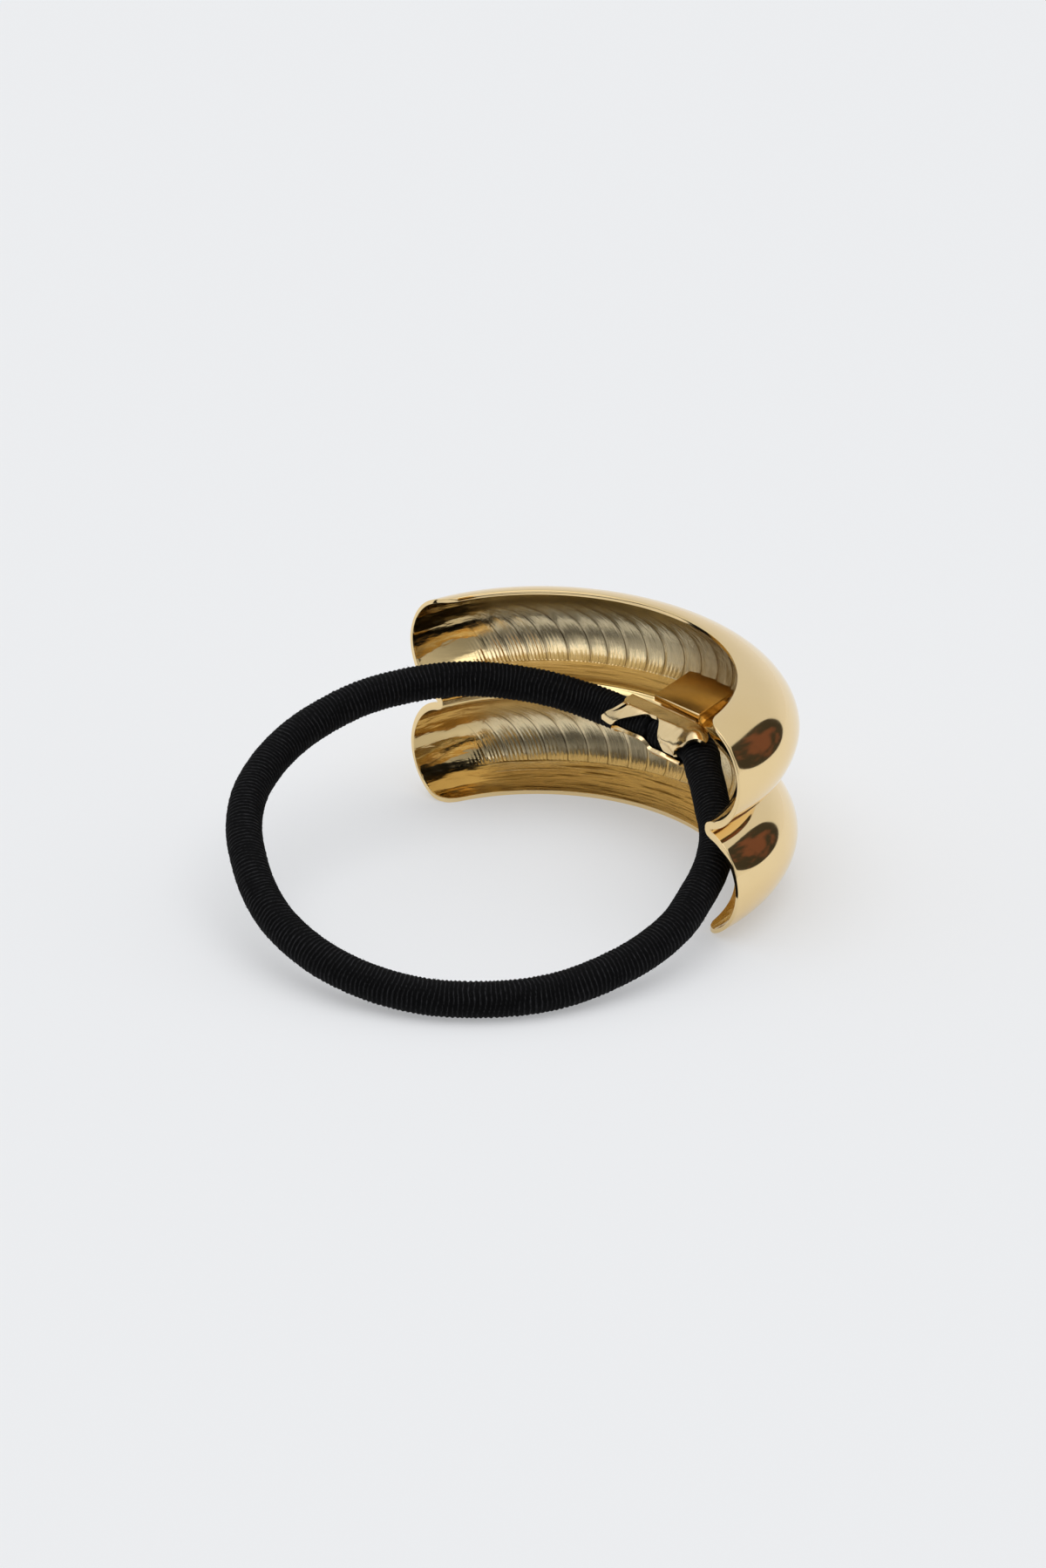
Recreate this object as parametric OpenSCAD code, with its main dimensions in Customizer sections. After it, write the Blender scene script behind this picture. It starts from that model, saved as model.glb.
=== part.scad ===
// Ponytail cuff: a bent metal shell with two hollow lobes, open towards the head,
// with an elastic loop held on its inside by a crimp.
// It stands on its lower rim. The back of the cuff bulges towards +Y, its mouth
// faces -Y, and X runs from end to end. The origin is under the middle of the metal.

/* [Cuff shell] */
// Height from the lower rim to the upper rim
cuff_h = 24.6; // [21:0.1:30]
// Half the width of the rim's ellipse, along X
rim_half_w = 20.9; // [18:0.1:25]
// Half the depth of the rim's ellipse, along Y
rim_half_d = 20.2; // [18:0.1:25]
// How far a lobe's crest stands out past the rim at its sides
crest_side = 4.75; // [3:0.05:6]
// How far it stands out past the rim at the middle of the back
crest_back = 6.95; // [5.5:0.05:9]
// How far the crest's ellipse is centred behind the rim's
crest_shift = 3.9; // [2:0.1:4.5]
// Distance from the rim ellipse's centre back to the plane where both ends stop
end_cut = 4.1; // [2.5:0.1:7]
// Thickness of the shell's sheet
shell_wall = 0.6; // [0.5:0.05:0.9]
// Half the height of the ridge where the lobes meet on the inside
ridge_half = 0.9; // [0.7:0.05:1.2]
// Depth of the solid metal behind that ridge, up to the groove outside
ridge_depth = 1.1; // [0.7:0.1:2]
// Power of a lobe's arch: 2 is an ellipse, less is more pointed
lobe_power = 1.86; // [1.6:0.02:2.3]
// Radius of the rim's rounded corners at the ends
corner_r = 1.8; // [0.8:0.1:2.4]
// Width of the flat land along each rim, on which the cuff stands
rim_land = 0.7; // [0.4:0.1:1]

/* [Plate soldered inside the upper lobe] */
// Width of the plate along the cuff
plate_w = 7; // [5.6:0.1:10]
// Thickness of the plate
plate_t = 0.6; // [0.4:0.05:0.8]
// Angle at which it rises towards the back
plate_rise = 12; // [8:1:16]
// How far its front edge hangs over the ridge
plate_overhang = 0.5; // [0.3:0.1:0.8]
// Height of the slot under its front edge, above the ridge
plate_slot = 0.55; // [0.5:0.05:0.7]

/* [Crimp] */
// Length of the crimp along the cord
crimp_l = 11.4; // [9:0.2:13]
// Thickness of the crimp's sheet
crimp_t = 0.42; // [0.3:0.02:0.6]
// Clearance between the crimp and the cord inside it
crimp_clear = 0.08; // [0.05:0.01:0.15]
// Clearance between the crimp and the shell
seat_gap = 0.1; // [0.05:0.01:0.2]
// Width of the open seam along its front
seam_gap = 0.35; // [0.2:0.05:0.6]
// How far its middle line lies below the ridge's
crimp_drop = 0.1; // [0:0.05:0.2]
// Width of the tongue that is caught under the plate
tongue_w = 5; // [3:0.1:6]
// Thickness of the tongue
tongue_t = 0.26; // [0.2:0.02:0.3]
// How far the tongue reaches past the ridge's face
tongue_reach = 0.9; // [0.6:0.1:1]

/* [Elastic loop] */
// Diameter of the elastic cord
cord_d = 4; // [3:0.1:4.2]

/* [Hidden] */
$fn = 48;

gold = [0.87, 0.80, 0.62];
black = [0.06, 0.06, 0.07];

// Steps along the cuff, and steps over one lobe's arch
along_steps = 48;
arch_steps = 13;

crest_half_w = rim_half_w + crest_side;
crest_half_d = rim_half_d + crest_back - crest_shift;
lobe_half_h = cuff_h / 4;

// The metal reaches from the end plane to the crests' back, and the origin is midway
centre_y = (end_cut + crest_shift + crest_half_d) / 2;

// Inside the sheet, a lobe runs from its rim to the ridge
inner_low_z = shell_wall;
inner_high_z = cuff_h / 2 - ridge_half;
inner_half_h = (inner_high_z - inner_low_z) / 2;
inner_share = 1 - shell_wall / crest_back;

// Y of the ridge's inner face at a distance x from the middle
function ridge_y(x) = rim_half_d * sqrt(1 - pow(x / rim_half_w, 2)) - centre_y;

// Half depth of the ellipse that lies a share w of the way from rim to crest
function half_d(w) = (1 - w) * rim_half_d + w * crest_half_d;
function half_w(w) = (1 - w) * rim_half_w + w * crest_half_w;

// A rounded corner's step back from the end plane, a distance s from the rim
function corner_back(s) =
    s >= corner_r ? 0 : corner_r - sqrt(pow(corner_r, 2) - pow(corner_r - s, 2));

// Angle at which the ellipse at share w reaches the end plane or its rounded corner
function end_angle(w, rounded) =
    let (back = rounded ? corner_back(w * crest_side) : 0)
    acos((end_cut + back - w * crest_shift) / half_d(w));

// A point [w, z, rounded] of the section, placed at a share s of the way to the end
function shell_point(p, s) =
    let (w = p[0], u = s * end_angle(w, p[2]))
    [half_w(w) * sin(u), w * crest_shift + half_d(w) * cos(u) - centre_y, p[1]];

// Points of the lower lobe's arch at some angles; the lower rim is at -90
function arch(angles, mid_z, half_h, out) =
    [for (a = angles)
        let (rise = sign(sin(a)) * pow(abs(sin(a)), 2 / lobe_power))
        [out * pow(cos(a), 2 / lobe_power), mid_z + half_h * rise, rise < 0]];

// Angle on the arch at which it stands out by a share w
function arch_angle(w) = acos(pow(w, lobe_power / 2));

// The same points in the upper lobe, from the ridge up to the upper rim
function mirrored(half) =
    [for (i = [len(half) - 1:-1:0]) [half[i][0], cuff_h - half[i][1], half[i][2]]];

// Outside, the arch runs from the rim's land to the floor of the groove
land_share = rim_land / crest_back;
outer_from = -arch_angle(land_share);
outer_to = arch_angle(ridge_depth / crest_back);
outer_angles = [for (i = [1:arch_steps])
    outer_from + (outer_to - outer_from) * i / arch_steps];
outer_half = concat(
    [[0, 0, true], [land_share, 0, true]],
    arch(outer_angles, lobe_half_h, lobe_half_h, 1));

// Inside, it runs from the rim to the ridge's face, with as many points
inner_steps = len(outer_half) - 1;
inner_angles = [for (i = [0:inner_steps]) 180 * i / inner_steps - 90];
inner_half = arch(inner_angles, inner_low_z + inner_half_h, inner_half_h, inner_share);

outer_arches = concat(outer_half, mirrored(outer_half));
inner_arches = concat(inner_half, mirrored(inner_half));
arch_points = len(outer_arches);

// Elastic loop, from inside the crimp round to the front and back into the crimp,
// drawn for a cuff of the sizes below it
drawn_route = [
    [0.3, 1.2, 12.2], [6.2, 1.2, 12.2], [9, -0.5, 11.2], [13.5, -3.6, 9.7],
    [17.4, -6.6, 8.4], [20.4, -10.5, 7], [22.5, -15, 5.6], [24, -19, 4.6],
    [24.6, -24, 3.6], [24.2, -29, 2.8], [23, -34, 2.2], [21, -38.4, 2],
    [18, -42.4, 2], [14.4, -45.6, 2.1], [10, -48, 2.5], [5.5, -49.5, 3.2],
    [1, -50, 4], [-4, -49.7, 5.2], [-8.6, -48.3, 6.5], [-13, -46, 7.9],
    [-17, -43.2, 9.3], [-20.3, -39.5, 10.8], [-22.6, -35, 12], [-23.8, -30.5, 13.1],
    [-24.1, -26, 14], [-23.5, -21, 14.9], [-22.2, -16.5, 15.3], [-20.3, -12.5, 15.5],
    [-18.3, -9, 15.3], [-15.9, -5.7, 14.7], [-12.8, -2.8, 14], [-9.5, 0, 12.8],
    [-6.2, 1.2, 12.2], [-0.3, 1.2, 12.2]];
drawn_half_w = 20.9;
drawn_half_d = 20.2;
drawn_crimp = [1.2, 12.2];
drawn_low_z = 2;
cord_sides = 12;

// Crimp: a sleeve round the cord with its back against the ridge
crimp_bore_r = cord_d / 2 + crimp_clear;
crimp_r = crimp_bore_r + crimp_t;
crimp_y = ridge_y(crimp_l / 2) - seat_gap - crimp_r;
crimp_z = cuff_h / 2 - crimp_drop;

// The route stretches with the cuff, stays in the crimp and rests on the same floor
cord_r = cord_d / 2;
route_rise = (crimp_z - cord_r) / (drawn_crimp[1] - drawn_low_z);
cord_route = [for (p = drawn_route) [
    p[0] * rim_half_w / drawn_half_w,
    crimp_y + (p[1] - drawn_crimp[0]) * rim_half_d / drawn_half_d,
    cord_r + (p[2] - drawn_low_z) * route_rise]];

// The window's outline on the crimp's front, as shares of its half length and radius
window_outline = [
    [-0.80, -0.35], [-0.35, 0.36], [0, 0.70], [0.20, 0.66], [0.34, 0.30],
    [0.44, -0.10], [0.60, -0.55], [0.26, -0.62], [0, -0.45], [-0.44, -0.55]];
window_turn = 25;
seam_turn = -4;

// The plate's front edge, over the ridge
plate_front_y = ridge_y(0) - plate_overhang;
ridge_top_z = cuff_h / 2 + ridge_half;
plate_low_z = ridge_top_z + plate_slot;
plate_l = crest_back - shell_wall / 2;

// Triangles between two closed rings of n points
function ring_strip(a, b, n) =
    [for (i = [0:n - 1]) let (k = (i + 1) % n)
        each [[a + i, b + i, b + k], [a + i, b + k, a + k]]];

// The two-lobed sheet, lofted from end to end through sections of two arches
module shell_sheet() {
    ring = 2 * arch_points;
    inner_back = [for (i = [arch_points - 1:-1:0]) inner_arches[i]];
    section = concat(outer_arches, inner_back);
    points = [for (j = [0:along_steps]) let (s = 2 * j / along_steps - 1)
        for (p = section) shell_point(p, s)];
    sides = [for (j = [0:along_steps - 1])
        each ring_strip(j * ring, (j + 1) * ring, ring)];
    // An end face joins each outer point to the inner point beside it
    function end_face(first) = [for (i = [0:arch_points - 2])
        let (a = first + i, b = first + ring - 1 - i)
        each [[a, a + 1, b - 1], [a, b - 1, b]]];
    function flipped(faces) = [for (f = faces) [f[2], f[1], f[0]]];
    polyhedron(points, concat(sides, end_face(0), flipped(end_face(along_steps * ring))));
}

// The plate, with its front edge free and its back sunk into the lobe's sheet
module soldered_plate() {
    translate([-plate_w / 2, plate_front_y, plate_low_z])
        rotate([plate_rise, 0, 0])
            cube([plate_w, plate_l - plate_overhang, plate_t]);
}

module cuff_shell() {
    color(gold)
        union() {
            shell_sheet();
            soldered_plate();
        }
}

// A shape drawn as seen from in front of the crimp, turned up by an angle and cut inwards
module front_cut(turn) {
    rotate([90 - turn, 0, 0])
        linear_extrude(2 * crimp_r)
            children();
}

// The folded sleeve round the two ends of the cord, and the tongue under the plate
module cord_crimp() {
    tongue_y = ridge_y(0) + tongue_reach;
    tongue_z = plate_low_z - seat_gap - tongue_t;
    color(gold)
        difference() {
            union() {
                translate([0, crimp_y, crimp_z])
                    rotate([0, 90, 0])
                        cylinder(r = crimp_r, h = crimp_l, center = true);
                translate([-tongue_w / 2, crimp_y, tongue_z])
                    cube([tongue_w, tongue_y - crimp_y, tongue_t]);
            }
            translate([0, crimp_y, crimp_z]) {
                rotate([0, 90, 0])
                    cylinder(r = crimp_bore_r, h = 2 * crimp_l, center = true);
                front_cut(window_turn)
                    polygon([for (p = window_outline)
                        [p[0] * crimp_l / 2, p[1] * crimp_r]]);
                front_cut(seam_turn)
                    square([2 * crimp_l, seam_gap], center = true);
            }
        }
}

// Direction of the cord's route at point i
function route_dir(i) =
    let (a = cord_route[max(i - 1, 0)],
         b = cord_route[min(i + 1, len(cord_route) - 1)])
    (b - a) / norm(b - a);

// A ring of points round the cord at route point i
function cord_ring(i) =
    let (d = route_dir(i),
         across = cross([0, 0, 1], d) / norm(cross([0, 0, 1], d)),
         up = cross(d, across))
    [for (k = [0:cord_sides - 1])
        let (a = 360 * (k + 0.5) / cord_sides)
        cord_route[i] + cord_r * (cos(a) * across + sin(a) * up)];

module elastic_loop() {
    last = len(cord_route) - 1;
    points = [for (i = [0:last]) each cord_ring(i)];
    sides = [for (i = [0:last - 1])
        each ring_strip(i * cord_sides, (i + 1) * cord_sides, cord_sides)];
    start = [[for (k = [0:cord_sides - 1]) k]];
    finish = [[for (k = [cord_sides - 1:-1:0]) last * cord_sides + k]];
    color(black)
        polyhedron(points, concat(sides, start, finish));
}

cuff_shell();
cord_crimp();
elastic_loop();
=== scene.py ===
import math
import random

import bpy
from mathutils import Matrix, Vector, noise


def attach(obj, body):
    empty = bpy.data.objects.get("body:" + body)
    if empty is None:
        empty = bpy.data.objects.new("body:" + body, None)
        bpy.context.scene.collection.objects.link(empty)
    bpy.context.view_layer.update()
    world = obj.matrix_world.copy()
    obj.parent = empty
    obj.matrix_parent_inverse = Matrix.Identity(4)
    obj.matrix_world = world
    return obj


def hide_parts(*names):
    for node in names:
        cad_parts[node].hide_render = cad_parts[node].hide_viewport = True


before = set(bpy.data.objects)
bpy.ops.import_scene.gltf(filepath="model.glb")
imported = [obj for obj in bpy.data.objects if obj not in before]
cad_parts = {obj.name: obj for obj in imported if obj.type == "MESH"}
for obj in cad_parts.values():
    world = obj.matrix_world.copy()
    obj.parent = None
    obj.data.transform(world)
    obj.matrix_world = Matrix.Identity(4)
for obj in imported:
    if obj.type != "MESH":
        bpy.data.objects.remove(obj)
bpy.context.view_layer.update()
bpy.ops.object.select_all(action="DESELECT")

MM = 0.001
scene = bpy.context.scene
scene.view_settings.view_transform = "Standard"


# ---------------------------------------------------------------- camera

camera = bpy.data.objects.new("camera", bpy.data.cameras.new("camera"))
scene.collection.objects.link(camera)
# 26 degrees up and 47 degrees round from the cuff's mouth, 0.8 m away
camera.location = (0.52228, -0.50391, 0.36397)
looked_at = Vector((-0.00149, -0.01720, 0.01138))
camera.rotation_euler = (looked_at - camera.location).to_track_quat("-Z", "Y").to_euler()
camera.data.lens = 171.5
camera.data.sensor_width = 36
camera.data.clip_start = 0.01
camera.data.clip_end = 20
scene.camera = camera


# ---------------------------------------------------------------- helpers

def active():
    """The piece that an operator has just made."""
    return bpy.context.view_layer.objects.active


def apply_modifiers(piece):
    """Puts all of a piece's modifiers into its mesh."""
    bpy.context.view_layer.objects.active = piece
    for modifier in list(piece.modifiers):
        bpy.ops.object.modifier_apply(modifier=modifier.name)


def settled(piece, name):
    """Names a finished piece and puts its place into its mesh."""
    bpy.ops.object.select_all(action="DESELECT")
    piece.select_set(True)
    bpy.context.view_layer.objects.active = piece
    bpy.ops.object.transform_apply(location=True, rotation=True, scale=True)
    piece.name = name
    piece.data.name = name
    return piece


def linear(hex_text):
    """An sRGB hex colour as a linear RGBA colour."""
    shares = [int(hex_text[i:i + 2], 16) / 255 for i in (1, 3, 5)]
    return [s / 12.92 if s <= 0.04045 else ((s + 0.055) / 1.055) ** 2.4 for s in shares] + [1]


def add(tree, kind, inputs=(), **settings):
    """Adds a node with its settings. Its inputs are given in their order or by name, and each is a value,
    an output or a node, which stands for its first output."""
    node = tree.nodes.new(kind)
    for key, value in settings.items():
        setattr(node, key, value)
    sockets = [socket for socket in node.inputs if socket.enabled]
    for key, value in inputs.items() if isinstance(inputs, dict) else enumerate(inputs):
        socket = sockets[key] if isinstance(key, int) else next(s for s in sockets if s.name == key)
        if isinstance(value, bpy.types.Node):
            value = next(out for out in value.outputs if out.enabled)
        if isinstance(value, bpy.types.NodeSocket):
            tree.links.new(value, socket)
        else:
            socket.default_value = value
    return node


def new_material(name):
    material = bpy.data.materials.new(name)
    material.use_nodes = True
    material.node_tree.nodes.clear()
    return material, material.node_tree


def between(value, points):
    """Straight-line value between [at, value] points."""
    if value <= points[0][0]:
        return points[0][1]
    for (a, va), (b, vb) in zip(points, points[1:]):
        if value <= b:
            return va + (vb - va) * (value - a) / (b - a)
    return points[-1][1]


def eased(value, low, high):
    """A soft step from 0 at the value low to 1 at the value high, which may be the smaller of the two."""
    t = min(1, max(0, (value - low) / (high - low)))
    return t * t * (3 - 2 * t)


# ---------------------------------------------------------------- elastic loop

CORD_D = 4.0
CORD_ROUTE = [
    (0.3, 1.2, 12.2), (6.2, 1.2, 12.2), (9, -0.5, 11.2), (13.5, -3.6, 9.7),
    (17.4, -6.6, 8.4), (20.4, -10.5, 7), (22.5, -15, 5.6), (24, -19, 4.6),
    (24.6, -24, 3.6), (24.2, -29, 2.8), (23, -34, 2.2), (21, -38.4, 2),
    (18, -42.4, 2), (14.4, -45.6, 2.1), (10, -48, 2.5), (5.5, -49.5, 3.2),
    (1, -50, 4), (-4, -49.7, 5.2), (-8.6, -48.3, 6.5), (-13, -46, 7.9),
    (-17, -43.2, 9.3), (-20.3, -39.5, 10.8), (-22.6, -35, 12), (-23.8, -30.5, 13.1),
    (-24.1, -26, 14), (-23.5, -21, 14.9), (-22.2, -16.5, 15.3), (-20.3, -12.5, 15.5),
    (-18.3, -9, 15.3), (-15.9, -5.7, 14.7), (-12.8, -2.8, 14), (-9.5, 0, 12.8),
    (-6.2, 1.2, 12.2), (-0.3, 1.2, 12.2)]
# One thread in the winding is 0.34 mm wide, which is too fine to show, so it is 0.5 mm here;
# and how deep the valley beside it is
THREAD_MM, THREAD_DEPTH = 0.5, 0.13
CORD_SIDES = 28
# How much of the cord's lower half is pressed in where the crimp pinches it
CORD_PINCH = 0.62
# Loose fibre ends, and the steps at each end of the cord that the crimp hides
FIBRE_ENDS, HIDDEN_STEPS = 900, 90


def smooth_line(points, step):
    """A smooth line through all the points, at even steps."""
    points = [Vector(p) for p in points]
    points = [2 * points[0] - points[1]] + points + [2 * points[-1] - points[-2]]
    fine = []
    for a, b, c, d in zip(points, points[1:], points[2:], points[3:]):
        t1 = (b - a).length ** 0.5
        t2 = t1 + (c - b).length ** 0.5
        t3 = t2 + (d - c).length ** 0.5
        for i in range(40):
            t = t1 + (t2 - t1) * i / 40
            ab = a * ((t1 - t) / t1) + b * (t / t1)
            bc = b * ((t2 - t) / (t2 - t1)) + c * ((t - t1) / (t2 - t1))
            cd = c * ((t3 - t) / (t3 - t2)) + d * ((t - t2) / (t3 - t2))
            abc = ab * ((t2 - t) / t2) + bc * (t / t2)
            bcd = bc * ((t3 - t) / (t3 - t1)) + cd * ((t - t1) / (t3 - t1))
            fine.append(abc * ((t2 - t) / (t2 - t1)) + bcd * ((t - t1) / (t2 - t1)))
    fine.append(points[-2])
    lengths = [0]
    for a, b in zip(fine, fine[1:]):
        lengths.append(lengths[-1] + (b - a).length)
    count = round(lengths[-1] / step)
    line, k = [], 0
    for i in range(count + 1):
        want = lengths[-1] * i / count
        while k < len(fine) - 2 and lengths[k + 1] < want:
            k += 1
        line.append(fine[k].lerp(fine[k + 1], (want - lengths[k]) / (lengths[k + 1] - lengths[k])))
    return line, lengths[-1]


def ring_axes(line, i):
    """The two directions across the cord's middle line at a point: level, and up from it."""
    along = (line[min(i + 1, len(line) - 1)] - line[max(i - 1, 0)]).normalized()
    across = Vector((0, 0, 1)).cross(along).normalized()
    return across, along.cross(across)


def pinched(x):
    """How far the crimp has pinched the cord flat from below, which is most on the left of its middle."""
    return eased(x, -5.8, -4.2) * (1 - eased(x, -0.4, 1))


def wound_cord(line, length):
    """A tube of wound thread: each turn of the thread is a low rib that runs on into the next."""
    sides, step = CORD_SIDES, length / (len(line) - 1)
    verts, faces, uvs, ribs = [], [], [], []
    for i, centre in enumerate(line):
        across, up = ring_axes(line, i)
        s = i * step
        # The cord swells where it is squeezed out of the crimp
        swell = 0.1 * math.exp(-((s - 7.6) / 1.6) ** 2) + 0.05 * math.exp(-((length - s - 8) / 2) ** 2)
        for k in range(sides):
            a = 2 * math.pi * k / sides
            drift = 0.55 * noise.noise(Vector((s * 0.35, math.cos(a), math.sin(a))))
            rib = 0.5 + 0.5 * math.cos(2 * math.pi * (s / THREAD_MM + drift) + a)
            uneven = 0.04 * noise.noise(Vector((s * 2.6, 2 * math.cos(a), 2 * math.sin(a) + 9)))
            r = CORD_D / 2 - 0.03 + swell - THREAD_DEPTH * (1 - rib) + uneven
            ribs.append(rib)
            out = r * (math.cos(a) * across + math.sin(a) * up)
            if out.z < 0 < centre.y:
                out.z *= 1 - CORD_PINCH * pinched(centre.x)
            verts.append((centre + out) * MM)
    for i in range(len(line) - 1):
        for k in range(sides):
            j = (k + 1) % sides
            faces.append((i * sides + k, i * sides + j, (i + 1) * sides + j, (i + 1) * sides + k))
            s0, s1 = i * step, (i + 1) * step
            v0, v1 = k / sides * math.pi * CORD_D, (k + 1) / sides * math.pi * CORD_D
            uvs += [(s0, v0), (s0, v1), (s1, v1), (s1, v0)]
    for ring, turned in ((0, True), (len(line) - 1, False)):
        verts.append(line[ring] * MM)
        ribs.append(0)
        for k in range(sides):
            j = (k + 1) % sides
            a, b = ring * sides + k, ring * sides + j
            faces.append((len(verts) - 1, b, a) if turned else (len(verts) - 1, a, b))
            uvs += [(0, 0)] * 3
    return verts, faces, uvs, ribs


def add_fuzz(line, verts, faces, uvs, ribs):
    """Loose fibre ends that stand a little off the winding."""
    rng = random.Random(5)
    for _ in range(FIBRE_ENDS):
        i = rng.randrange(HIDDEN_STEPS, len(line) - HIDDEN_STEPS)
        across, up = ring_axes(line, i)
        a = rng.uniform(0, 2 * math.pi)
        out = math.cos(a) * across + math.sin(a) * up
        along = (line[i + 1] - line[i - 1]).normalized()
        side = out.cross(along)
        start = line[i] + out * (CORD_D / 2 - 0.1)
        # None lies on the table or in the crimp
        if start.z < 0.5 or (abs(start.x) < 8 and start.y > -1.8):
            continue
        lean = along * rng.uniform(-1, 1) + side * rng.uniform(-1.4, 1.4)
        tall, wide = rng.uniform(0.12, 0.26), rng.uniform(0.012, 0.02)
        spine = [start, start + out * tall * 0.75 + lean * tall * 0.35, start + out * tall + lean * tall]
        first = len(verts)
        for p, w in zip(spine, (wide, wide * 0.8, wide * 0.4)):
            for k in range(3):
                turn = 2 * math.pi * k / 3
                verts.append((p + w * (math.cos(turn) * along + math.sin(turn) * side)) * MM)
                ribs.append(1)
        for row in range(2):
            for k in range(3):
                j, b = (k + 1) % 3, first + row * 3
                faces.append((b + k, b + j, b + 3 + j, b + 3 + k))
                uvs += [(0, 0)] * 4
        faces.append((first + 2, first + 1, first))
        faces.append((first + 6, first + 7, first + 8))
        uvs += [(0, 0)] * 6


cord_line, cord_mm = smooth_line(CORD_ROUTE, THREAD_MM / 4)
cord_parts = wound_cord(cord_line, cord_mm)
add_fuzz(cord_line, *cord_parts)
cord_mesh = bpy.data.meshes.new("elastic_cord")
cord_mesh.from_pydata(cord_parts[0], [], cord_parts[1])
cord_uv = cord_mesh.uv_layers.new(name="thread_mm")
for loop, uv in zip(cord_uv.data, cord_parts[2]):
    loop.uv = uv
rib_heights = cord_mesh.attributes.new("rib_height", "FLOAT", "POINT")
rib_heights.data.foreach_set("value", cord_parts[3])
cord_mesh.shade_smooth()
elastic = bpy.data.objects.new("elastic_cord", cord_mesh)
scene.collection.objects.link(elastic)

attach(elastic, "root")
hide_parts("elastic_loop")


# ---------------------------------------------------------------- cuff shell

CUFF_H = 24.6
RIM_HALF_W, RIM_HALF_D = 20.9, 20.2
CREST_SIDE, CREST_BACK, CREST_SHIFT = 4.75, 6.95, 3.9
END_CUT, SHELL_WALL, RIM_WALL, CORNER_R, RIM_LAND = 4.1, 0.6, 0.48, 1.8, 0.7
RIDGE_HALF, RIDGE_DEPTH, LOBE_POWER = 0.9, 1.1, 1.86
CREST_HALF_W = RIM_HALF_W + CREST_SIDE
CREST_HALF_D = RIM_HALF_D + CREST_BACK - CREST_SHIFT
CENTRE_Y = (END_CUT + CREST_SHIFT + CREST_HALF_D) / 2
# From the middle of the back to an end, along the wall
ARC_MM = 38
# How far the lips' edges are rounded
LIP_R = 0.2

ARCH_STEPS, NOSE_STEPS, ALONG_STEPS = 38, 6, 460
# The last step at each end is wider, so that the lip's rounding fits in it
END_STEP = 0.35

# The strip that a ball cutter has milled in each lobe: its lower edge above the lobe's bottom,
# the cutter's radius, the step between two passes, one pass's place and how deep its edge is
MILL_LOW, CUTTER_R, CUTTER_STEP, FIRST_PASS, PASS_DEPTH = 4.75, 6.4, 2.42, -18.6, 0.13
# The share of a pass over which it steps back up to the next one
PASS_EDGE = 0.1
# The upper side of the ridge swells this much, this far above the upper lobe's foot, over this height
SWELL, SWELL_MIDDLE, SWELL_SPREAD = 0.27, 1.6, 0.5


def corner_back(rise):
    """How far a rim's rounded corner steps back from the end plane."""
    return 0 if rise >= CORNER_R else CORNER_R - math.sqrt(CORNER_R ** 2 - (CORNER_R - rise) ** 2)


def shell_point(w, z, back, s):
    """The point of a section that stands out by a share w at a height z, a share s of the way to the end."""
    half_w = (1 - w) * RIM_HALF_W + w * CREST_HALF_W
    half_d = (1 - w) * RIM_HALF_D + w * CREST_HALF_D
    u = s * math.acos((END_CUT + back - w * CREST_SHIFT) / half_d)
    return Vector((half_w * math.sin(u), w * CREST_SHIFT + half_d * math.cos(u) - CENTRE_Y, z)) * MM


def arch(low, high, count, mid_z, half_h, out):
    """Section points over the lower lobe's arch between two angles."""
    points = []
    for i in range(count + 1):
        a = math.radians(low + (high - low) * i / count)
        rise = math.copysign(abs(math.sin(a)) ** (2 / LOBE_POWER), a)
        points.append((out * max(0, math.cos(a)) ** (2 / LOBE_POWER), mid_z + half_h * rise))
    return points


def arch_angle(w):
    """The angle at which the lobe's arch stands out by a share w."""
    return math.degrees(math.acos(w ** (LOBE_POWER / 2)))


land = RIM_LAND / CREST_BACK
outer_lower = [(0, 0), (land * 0.5, 0)] + arch(
    -arch_angle(land), arch_angle(RIDGE_DEPTH / CREST_BACK),
    ARCH_STEPS + NOSE_STEPS - 2, CUFF_H / 4, CUFF_H / 4, 1)

# Inside, the ridge between the lobes is a rounded nose
nose_w = RIDGE_HALF / CREST_BACK
inner_half = (CUFF_H / 2 - RIDGE_HALF - RIM_WALL) / 2
inner_share = 1 - SHELL_WALL / CREST_BACK
inner_lower = arch(
    -90, arch_angle(nose_w / inner_share), ARCH_STEPS, RIM_WALL + inner_half, inner_half, inner_share)
inner_lower += [
    (nose_w * (1 - math.sin(t)), CUFF_H / 2 - RIDGE_HALF * math.cos(t))
    for t in (math.pi / 2 * (i + 0.5) / (NOSE_STEPS + 0.5) for i in range(NOSE_STEPS))]

# Both sheets step back alike where a rim's corner is rounded
backs = [corner_back(w * CREST_SIDE) if z < CUFF_H / 4 else 0 for w, z in outer_lower]
lobe_rows = len(outer_lower)


def both_lobes(lower):
    """The lower lobe's section and its mirror image above it."""
    return lower + [(w, CUFF_H - z) for w, z in reversed(lower)]


backs += reversed(backs)
outer_section, inner_section = both_lobes(outer_lower), both_lobes(inner_lower)


def along_share(i):
    """The share of the way to an end at a step, from -1 at the left to 1 at the right."""
    if i in (0, ALONG_STEPS):
        return 2 * i / ALONG_STEPS - 1
    return (1 - END_STEP / ARC_MM) * (2 * (i - 1) / (ALONG_STEPS - 2) - 1)


def cutter_place(u, v, lobe):
    """How many passes along a point lies, where they bend to the left, and its height in the strip."""
    h = v - MILL_LOW
    bend = min(max(h, 0), 0.9 * CUTTER_R)
    side = math.sqrt(CUTTER_R ** 2 - bend ** 2)
    p = u + CUTTER_R - side + max(0, h - bend) * bend / side
    return (p - FIRST_PASS + 0.5 * noise.noise(Vector((p * 0.21, lobe * 5, 3)))) / CUTTER_STEP, h


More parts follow.
